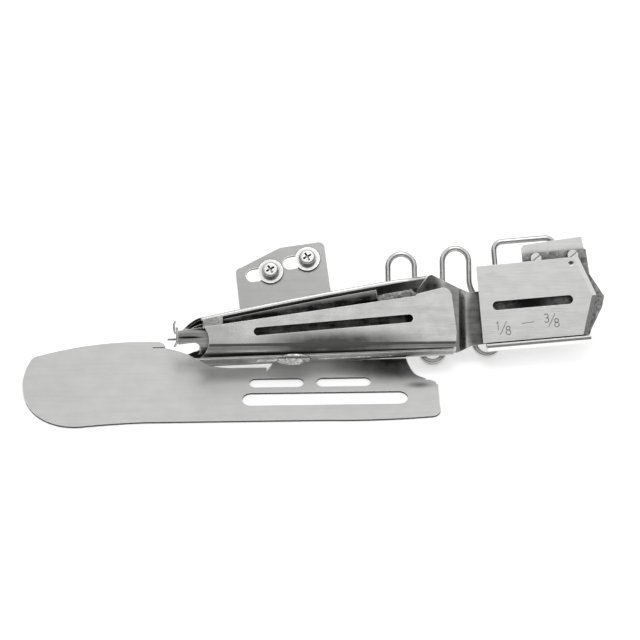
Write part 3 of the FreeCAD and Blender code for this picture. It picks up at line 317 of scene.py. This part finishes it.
    colour = add(tree, "ShaderNodeMix", {"Factor": tone, "A": linear(code), "B": linear(dull_and_shade_colour)},
                 data_type="RGBA").outputs["Result"]
    colour = add(tree, "ShaderNodeMix", {"Factor": worn_and_highlit_edge, "A": colour, "B": linear(edge_wear_and_highlight)},
                 data_type="RGBA").outputs["Result"]
    colour = add(tree, "ShaderNodeMix", {"Factor": recess_shade, "A": colour, "B": linear(recess_shade_colour)},
                 data_type="RGBA").outputs["Result"]
    rough = add(tree, "ShaderNodeMath", {0: lines, 1: 0.10, 2: gloss}, operation="MULTIPLY_ADD").outputs[0]
    rough = add(tree, "ShaderNodeMath", {0: tone, 1: blur, 2: rough}, operation="MULTIPLY_ADD").outputs[0]
    height = add(tree, "ShaderNodeMath", {0: waves, 1: wave, 2: 0.0}, operation="MULTIPLY_ADD").outputs[0]
    height = add(tree, "ShaderNodeMath", {0: lines, 1: 0.02, 2: height}, operation="MULTIPLY_ADD").outputs[0]
    bump = add(tree, "ShaderNodeBump", {"Height": height, "Distance": 1 * mm, "Strength": 0.6, "Normal": edge})
    grain = add(tree, "ShaderNodeCombineXYZ", {"X": 0.0, "Y": 1.0, "Z": 0.0}).outputs[0]
    metal = add(tree, "ShaderNodeBsdfPrincipled", {"Base Color": colour, "Metallic": 1.0,
                                                   "Roughness": rough, "Normal": bump.outputs[0],
                                                   "Anisotropic": brushed, "Tangent": grain})
    tree.links.new(metal.outputs[0], out.inputs["Surface"])
    return material


print("noises", streak_gap, wave_gap, cloud_gap, pit_gap, "mm apart")

# %% [markdown]
# Each spot has a middle and three half sizes in millimetres, a strength, and how softly it
# fades. Those on the bed plate are in the world's frame, all others in the folder's. On the face
# the spots make the band below the slot, the side towards the mouth and the lower round darker,
# and lay painted shade along the fold. On the rear shell they paint shade on and under the curl,
# in the mouth, behind the slot and in the channel, and at the folder's entry and the neck they
# paint shade and reflection over duller, unbuffed metal. On the inner ring they are painted
# shade, on the bed plate's pressed-up flange a painted reflection, and at the plate's corner, by
# the seam and in the guide's dimple painted shade. The channel's depth is a sphere so large that
# its skin is as good as a slanted plane.

# %% Dull and shaded spots and the plated finishes
everywhere = 4000.0
# Face: darker below the slot, towards the mouth and on the lower round; painted shade along the fold.
below_slot = ((2.0, 1.0, 6.5), (38.0, 5.2, 7.0), 0.98, 0.85)
mouth_side = ((-42.0, 5.0, 5.0), (22.0, 30.0, 10.0), 0.25, 0.8)
fold_line = ((0.0, 0.25, 0.0), (everywhere, 0.6, everywhere), 0.9, 0.6)
lower_round = ((0.0, -10.0, 0.0), (everywhere, 10.2, everywhere), 0.28, 0.04)
# Rear shell and inner ring: painted shade on and under the curl, in the mouth, behind the slot, on the ring and
# in the channel; painted shade and reflection over duller metal at the entry and the neck.
lower_curl = ((0.0, -3.4, 9.0), (everywhere, 3.2, 4.0), 0.48, 0.3)
under_curl = ((24.0, -2.5, 3.0), (20.0, 3.5, 6.0), 0.6, 0.8)
folder_entry = ((34.5, 12.0, 0.0), (8.0, 24.0, 2.8), 0.80, 0.4)
neck_root = ((43.5, 8.0, 0.5), (4.0, 24.0, 3.2), 0.42, 0.4)
neck_end = ((56.5, 8.0, 1.5), (10.2, 20.0, 2.8), 0.62, 0.3)
beak = ((-44.5, 8.4, 4.9), (5.0, 3.0, 3.5), 0.95, 0.4)
curl_inside = ((-42.5, -3.0, 1.2), (4.5, 2.2, 3.0), 0.95, 0.4)
behind_slot = ((3.0, 7.0, 1.4), (46.0, 9.0, 1.3), 0.78, 0.2)
ring_top = ((-39.0, 6.2, 8.0), (7.0, 1.5, 3.0), 0.85, 0.7)
ring_line = ((-45.0, 3.0, 8.0), (7.0, 0.6, 3.0), 0.75, 0.8)
channel_depth = ((467.9, -2947.0, 5.0), (3000.0, 3000.0, 3000.0), 0.86, 0.0009)
# Bed plate: painted reflection on the pressed-up flange, painted shade at its corner and by the seam. Guide:
# painted shade in the dimple.
pressed_flange = ((22.0, 15.5, 3.5), (30.0, 10.0, 7.0), 1.0, 0.9)
seam_corner = ((31.6, 5.8, 0.8), (7.0, 2.2, 2.5), 0.50, 1.0)
plate_corner = ((30.0, 10.5, 0.8), (26.0, 6.5, 3.0), 0.30, 0.9)
dimple = ((83.6, 26.6, 5.3), (0.9, 0.9, 1.5), 1.0, 0.5)

face_nickel = plated_sheet("buffed_nickel_face", "E8E8E7", True, 0.12, dull_and_shade_colour="6A6A69", wave=0.25, recess=3.0,
                           recess_shade_strength=0.35, blur=0.50, streak=0.06,
                           spots=[below_slot, mouth_side, fold_line, lower_round])
rear_nickel = plated_sheet("buffed_nickel_rear", "E2E2E1", True, 0.14, dull_and_shade_colour="2E2E2D", rim=0.38, recess=2.0,
                           recess_shade_strength=0.45, blur=0.35,
                           spots=[folder_entry, neck_root, neck_end, beak, curl_inside, behind_slot,
                                  lower_curl, under_curl])
# The guide's, the bed plate's and the bracket's punched walls get painted shade.
guide_nickel = plated_sheet("buffed_nickel_guide", "E8E8E7", True, 0.15, dull_and_shade_colour="5A5A59", wave=0.15, recess=3.0,
                            streak=0.04, cloud=0.08, wall_shade=0.5, spots=[dimple])
# The inner sheets and the hem tongue are darker: painted shade over their unbuffed finish.
inner_shaded_nickel = plated_sheet("unbuffed_shaded_nickel", "BCBCBB", True, 0.22, dull_and_shade_colour="242423", wave=0.15, recess_shade_strength=0.8,
                            streak=0.40, spots=[ring_top, ring_line])
tongue_nickel = plated_sheet("shaded_nickel", "CACAC9", True, 0.24, dull_and_shade_colour="1E1E1D", wave=0.1, recess=2.0,
                             recess_shade_strength=0.5, spots=[channel_depth])
plate_nickel = plated_sheet("satin_nickel", "D6D6D5", False, 0.50, dull_and_shade_colour="3A3A39", line_gap=0.30, wave=0.12,
                            rim=0.38, recess=2.5, recess_shade_strength=0.4, streak=0.04, cloud=0.08, brushed=0.8, wall_shade=0.75,
                            spots=[pressed_flange, plate_corner, seam_corner])
ground_nickel = plated_sheet("ground_nickel", "9C9C9B", True, 0.27, line_gap=0.25, wave=0.15, bevel=0.12,
                             recess=4.0, wall_shade=0.6)
# Wires and screws get painted shade on their sides turned away.
wire_nickel = plated_sheet("drawn_nickel_wire", "DADAD9", True, 0.13, dull_and_shade_colour="4A4A49", line_gap=0.5, wave=0.05,
                           bevel=0.05, recess=3.0, back_shade=0.5)
screw_nickel = plated_sheet("turned_nickel_screw", "D6D6D5", True, 0.14, dull_and_shade_colour="4C4C4B", line_gap=0.2,
                            wave=0.05, bevel=0.08, recess=1.5, back_shade=0.4)
# The guide's screws get a lighter copy of the screw finish: a painted highlight.
highlit_screw = plated_sheet("bright_screw_nickel", "EEEEED", True, 0.10, line_gap=0.2, wave=0.02,
                            bevel=0.08, recess=0.8)
print("plated metals:", [item.name for item in bpy.data.materials if "nickel" in item.name])

# %% [markdown]
# The tape guide's rear plate was only tumbled, not buffed: its skin is a mottled, dull grey with
# small hollows, and only its rolled lower lip, over which the tape runs, is smooth. Two noises
# do the skin, one for the mottling and a finer one for the hollows. Soft solder gets the same
# recipe with more shine: it froze in lumps, with dark flux between them.

# %% Tumbled steel and solder
smooth_steel, deep_shade = "F2F2F1", "262625"
lip_fade = 0.3


def rough_metal(name, light, dark, blotch, grain, depth, low, high, reach, shade_spot=None, smooth_below=None):
    """Dull metal with blotches and a grainy skin; below a line of the guide's frame it is smooth."""
    material, out = new_material(name)
    tree = material.node_tree
    place = local_place(tree, True)
    patches = add(tree, "ShaderNodeTexNoise", {"Vector": place, "Scale": 1 / (blotch * mm), "Detail": 5.0,
                                               "Roughness": 0.7, "Distortion": 0.6}).outputs["Fac"]
    grains = add(tree, "ShaderNodeTexNoise", {"Vector": place, "Scale": 1 / (grain * mm), "Detail": 3.0,
                                              "Roughness": 0.8}).outputs["Fac"]
    share = add(tree, "ShaderNodeMapRange", {"Value": patches, "From Min": 0.35, "From Max": 0.65}).outputs[0]
    # Where the ambient occlusion node finds a recess, painted shade darkens the colour.
    shut = add(tree, "ShaderNodeAmbientOcclusion", {"Distance": reach * mm}, samples=8).outputs["AO"]
    recess_shade = add(tree, "ShaderNodeMapRange", {"Value": shut, "From Min": 0.3, "From Max": 0.9,
                                             "To Min": 0.96, "To Max": 0.0}).outputs[0]
    # A given spot adds more painted shade.
    if shade_spot:
        hollow_shade = spot(tree, place, *shade_spot)
        recess_shade = add(tree, "ShaderNodeMath", {0: recess_shade, 1: hollow_shade}, operation="MAXIMUM").outputs[0]
    colour = add(tree, "ShaderNodeMix", {"Factor": share, "A": linear(light), "B": linear(dark)},
                 data_type="RGBA").outputs["Result"]
    rough = add(tree, "ShaderNodeMapRange", {"Value": patches, "From Min": 0.35, "From Max": 0.65,
                                             "To Min": low, "To Max": high}).outputs[0]
    height = add(tree, "ShaderNodeMath", {0: patches, 1: 1.0, 2: grains}, operation="MULTIPLY_ADD").outputs[0]
    if smooth_below is not None:
        rise = add(tree, "ShaderNodeVectorMath", {0: place, 1: (-sin(guide_turn), cos(guide_turn), 0.0)},
                   operation="DOT_PRODUCT").outputs["Value"]
        corner_rise = -sin(guide_turn) * guide_corner.x + cos(guide_turn) * guide_corner.y
        start = corner_rise + smooth_below
        raw = add(tree, "ShaderNodeMapRange", {"Value": rise, "From Min": (start - lip_fade) * mm,
                                               "From Max": (start + lip_fade) * mm}).outputs[0]
        colour = add(tree, "ShaderNodeMix", {"Factor": raw, "A": linear(smooth_steel), "B": colour},
                     data_type="RGBA").outputs["Result"]
        rough = add(tree, "ShaderNodeMix", {"Factor": raw, "A": 0.16, "B": rough},
                    data_type="FLOAT").outputs["Result"]
        height = add(tree, "ShaderNodeMath", {0: height, 1: raw}, operation="MULTIPLY").outputs[0]
    colour = add(tree, "ShaderNodeMix", {"Factor": recess_shade, "A": colour, "B": linear(deep_shade)},
                 data_type="RGBA").outputs["Result"]
    edge = add(tree, "ShaderNodeBevel", {"Radius": 0.12 * mm}, samples=4).outputs[0]
    bump = add(tree, "ShaderNodeBump", {"Height": height, "Distance": depth * mm, "Strength": 0.9,
                                        "Normal": edge})
    metal = add(tree, "ShaderNodeBsdfPrincipled", {"Base Color": colour, "Metallic": 1.0,
                                                   "Roughness": rough, "Normal": bump.outputs[0]})
    tree.links.new(metal.outputs[0], out.inputs["Surface"])
    return material


# Painted shade on the rear plate behind the guide's slot.
behind_guide_slot = ((69.5, 13.2, 3.0), (19.0, 7.0, 1.6), 0.9)
tumbled_steel = rough_metal("tumbled_steel", "D2D2D1", "7A7A79", 1.8, 0.45, 0.14, 0.36, 0.55, 7.0,
                            shade_spot=behind_guide_slot, smooth_below=0.5)
soft_solder = rough_metal("soft_solder", "E4E4E3", "848483", 2.6, 0.8, 0.06, 0.10, 0.30, 1.5)
old_solder = rough_metal("old_solder", "B4B4B3", "6E6E6D", 1.6, 0.6, 0.10, 0.18, 0.40, 2.0)
print("dull metals:", tumbled_steel.name, soft_solder.name, old_solder.name)

# %% [markdown]
# A solid comes with the name of its kind of metal, its slot. One table gives each slot its
# finish, and a second one names the solids that look different from the rest of their slot:
# the sheets deep inside the folder get painted shade over their unbuffed finish, the guide's
# screws a painted highlight, and the bracket was only ground.

# %% Give every solid its finish
finishes = {
    "polished_steel": face_nickel,
    "satin_steel": plate_nickel,
    "raw_steel": tumbled_steel,
    "steel_wire": wire_nickel,
    "screw_steel": screw_nickel,
    "solder": soft_solder,
}
own_finish = {
    "back_shell": rear_nickel,
    "guide_front_plate": guide_nickel,
    "edge_guide": guide_nickel,
    "inner_scroll": inner_shaded_nickel,
    "turning_blade": inner_shaded_nickel,
    "hem_blade": inner_shaded_nickel,
    "turning_pin": inner_shaded_nickel,
    "hem_tongue": tongue_nickel,
    "mounting_bracket": ground_nickel,
    "edge_guide_screw_left": highlit_screw,
    "edge_guide_screw_right": highlit_screw,
    "solder_lip_end": old_solder,
    "solder_channel_floor": old_solder,
}
slots = {entry["node"]: entry["material_slot"] for entry in frame["record"]["subparts"]}
for name, piece in nodes.items():
    piece.data.materials.clear()
    piece.data.materials.append(own_finish.get(name, finishes[slots[name]]))
print({name: nodes[name].data.materials[0].name for name in nodes})

# %% [markdown]
# The size marks on the guide's front plate are shallow strokes of a graver: a fraction at each
# end of the range and a dash between them. They could be cut out with a Boolean modifier, but at
# 0.05 mm deep a groove shows only as a thin, dull stroke, so each stroke is a sliver of dull
# metal let into the plate, with its face a hundredth of a millimetre proud of the polish.

# %% Size marks
groove_finish, groove_out = new_material("dull_stroke")
tree = groove_finish.node_tree
specks = add(tree, "ShaderNodeTexNoise", {"Vector": local_place(tree, True), "Scale": 1 / (0.5 * mm),
                                          "Detail": 3.0}).outputs["Fac"]
colour = add(tree, "ShaderNodeMix", {"Factor": specks, "A": linear("7A7A7A"), "B": linear("B8B8B7")},
             data_type="RGBA").outputs["Result"]
groove = add(tree, "ShaderNodeBsdfPrincipled", {"Base Color": colour, "Metallic": 1.0, "Roughness": 0.4})
tree.links.new(groove.outputs[0], groove_out.inputs["Surface"])
stroke_width = 0.26
stroke_proud = 0.01
stroke_deep = 0.05


def add_stroke(shape, points):
    """A thin bar along a line of points, its ends square, let into the plane at height zero."""
    for first, last in zip(points, points[1:]):
        run = (Vector(last) - Vector(first)).normalized() * stroke_width / 2
        aside = Vector((-run.y, run.x))
        a, b = Vector(first) - run, Vector(last) + run
        low = [shape.verts.new((point.x, point.y, -stroke_deep))
               for point in (a - aside, b - aside, b + aside, a + aside)]
        raised = bmesh.ops.extrude_face_region(shape, geom=[shape.faces.new(low)])
        tops = [item for item in raised["geom"] if isinstance(item, bmesh.types.BMVert)]
        bmesh.ops.translate(shape, vec=(0, 0, stroke_proud + stroke_deep), verts=tops)


def ring(x, y, radius, start=0.0, turn=360.0, steps=14):
    """Points along an arc, given in degrees."""
    angles = [radians(start + turn * i / steps) for i in range(steps + 1)]
    return [(x + radius * cos(angle), y + radius * sin(angle)) for angle in angles]


def digit_strokes(digit, x, y):
    """Lines of one engraved digit about 2.9 mm tall, its middle at x, y."""
    if digit == "1":
        return [[(x - 0.45, y + 0.9), (x, y + 1.4), (x, y - 1.4)]]
    if digit == "3":
        return [ring(x - 0.1, y + 0.72, 0.68, start=140, turn=-230),
                ring(x - 0.1, y - 0.66, 0.76, start=90, turn=-235)]
    return [ring(x, y + 0.75, 0.62), ring(x, y - 0.66, 0.76)]


marks = bmesh.new()
fractions = [("1", "8", 7.2, 4.5), ("3", "8", 23.7, 5.7)]
for upper, lower, x, y in fractions:
    lines = digit_strokes(upper, x - 1.7, y + 0.9) + digit_strokes(lower, x + 1.6, y - 0.9)
    lines.append([(x - 1.2, y - 2.1), (x + 1.2, y + 2.1)])
    for line in lines:
        add_stroke(marks, line)
add_stroke(marks, [(13.6, 5.5), (17.6, 5.75)])
bmesh.ops.recalc_face_normals(marks, faces=marks.faces)
bmesh.ops.transform(marks, matrix=guide_place @ Matrix.Diagonal((mm, mm, mm, 1.0)), verts=marks.verts)
marks_mesh = bpy.data.meshes.new("size_marks")
marks.to_mesh(marks_mesh)
marks.free()
marks_mesh.materials.append(groove_finish)
size_marks = bpy.data.objects.new("size_marks", marks_mesh)
scene.collection.objects.link(size_marks)
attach(size_marks, "root")
print(len(fractions), "fractions and a dash,", len(marks_mesh.polygons), "faces")

# %% [markdown]
# Solder never freezes as smoothly as a drawn solid. Each solder body is remeshed finely, and a
# cloud texture pushes its skin in and out by a tenth of a millimetre or two.

# %% Lumpy solder
lumps = bpy.data.textures.new("solder_lumps", "CLOUDS")
lumps.noise_scale = 2.4 * mm
lumps.noise_depth = 3
for name in ("solder_front_seam", "solder_lip_end", "solder_channel_floor"):
    piece = nodes[name]
    fine = piece.modifiers.new("fine", "REMESH")
    fine.mode = "VOXEL"
    fine.voxel_size = 0.12 * mm
    fine.use_smooth_shade = True
    push = piece.modifiers.new("lumps", "DISPLACE")
    push.texture = lumps
    push.texture_coords = "LOCAL"
    push.strength = 0.28 * mm
    push.mid_level = 0.62
print("lumps", round(lumps.noise_scale / mm, 2), "mm apart")

# %% [markdown]
# Along the seam between the two lower rounds the solder has also crept out of the bead: a thin,
# bright line to the right and a smear to the left. Both are films laid over the curl, a cylinder
# that tapers a little. A row of closed outlines is computed round it and skinned; a noise frays
# the film's edges and its thickness, as solder does where the flux ran out. The film's inner
# side lies a little below the curl's skin, so that no gap shows under its edges.

# %% Solder films on the seam
film_step = 0.3
film_points = 8
film_inner_side = -0.15


def curl_at(x):
    """Middle and radius of the folder's curl at one place along the plate, in mm."""
    return 16.31 + 0.0245 * x, 8.85 - 0.003 * x, 4.71 - 0.0193 * x


def film(name, left, right, angle, tall, thick, fray):
    """A thin uneven skin on the folder's curl; its angle is counted forwards from straight down."""
    shape = bmesh.new()
    rings = []
    count = int((right - left) / film_step)
    for i in range(count + 1):
        x = left + (right - left) * i / count
        middle_y, middle_z, radius = curl_at(x)
        ends = sin(pi * (i + 0.3) / (count + 0.6)) ** 0.5
        reach = tall / 2 * ends * (1 + fray * noise.noise((x * 0.7, 3.1, angle)))
        shift = fray * 0.5 * tall * noise.noise((x * 0.35, 9.4, angle))
        shares = [2 * j / film_points - 1 for j in range(film_points + 1)]
        outer = [(share, thick * (1 - share ** 2) * (1 + 0.8 * noise.noise((x * 1.3, share * 2, 5.0))))
                 for share in shares]
        inner = [(-share, film_inner_side) for share in shares]
        loop = []
        for share, high in outer + inner:
            turn_by = radians(angle) + (share * reach + shift) / radius
            away = radius + high
            loop.append(shape.verts.new((x, middle_y - away * sin(turn_by), middle_z - away * cos(turn_by))))
        rings.append(loop)
    for first, second in zip(rings, rings[1:]):
        for j in range(len(first)):
            shape.faces.new((first[j - 1], first[j], second[j], second[j - 1]))
    shape.faces.new(rings[0])
    shape.faces.new(rings[-1])
    bmesh.ops.recalc_face_normals(shape, faces=shape.faces)
    bmesh.ops.transform(shape, matrix=Matrix.Diagonal((mm, mm, mm, 1.0)), verts=shape.verts)
    mesh = bpy.data.meshes.new(name)
    shape.to_mesh(mesh)
    shape.free()
    mesh.shade_smooth()
    mesh.materials.append(soft_solder)
    piece = bpy.data.objects.new(name, mesh)
    scene.collection.objects.link(piece)
    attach(piece, "root")
    return piece


films = [film("solder_line", -5.5, 23.0, 79.0, 0.8, 0.16, 0.6),
         film("solder_smear", -23.0, -15.0, 84.0, 2.4, 0.10, 0.7)]
print({piece.name: len(piece.data.polygons) for piece in films})
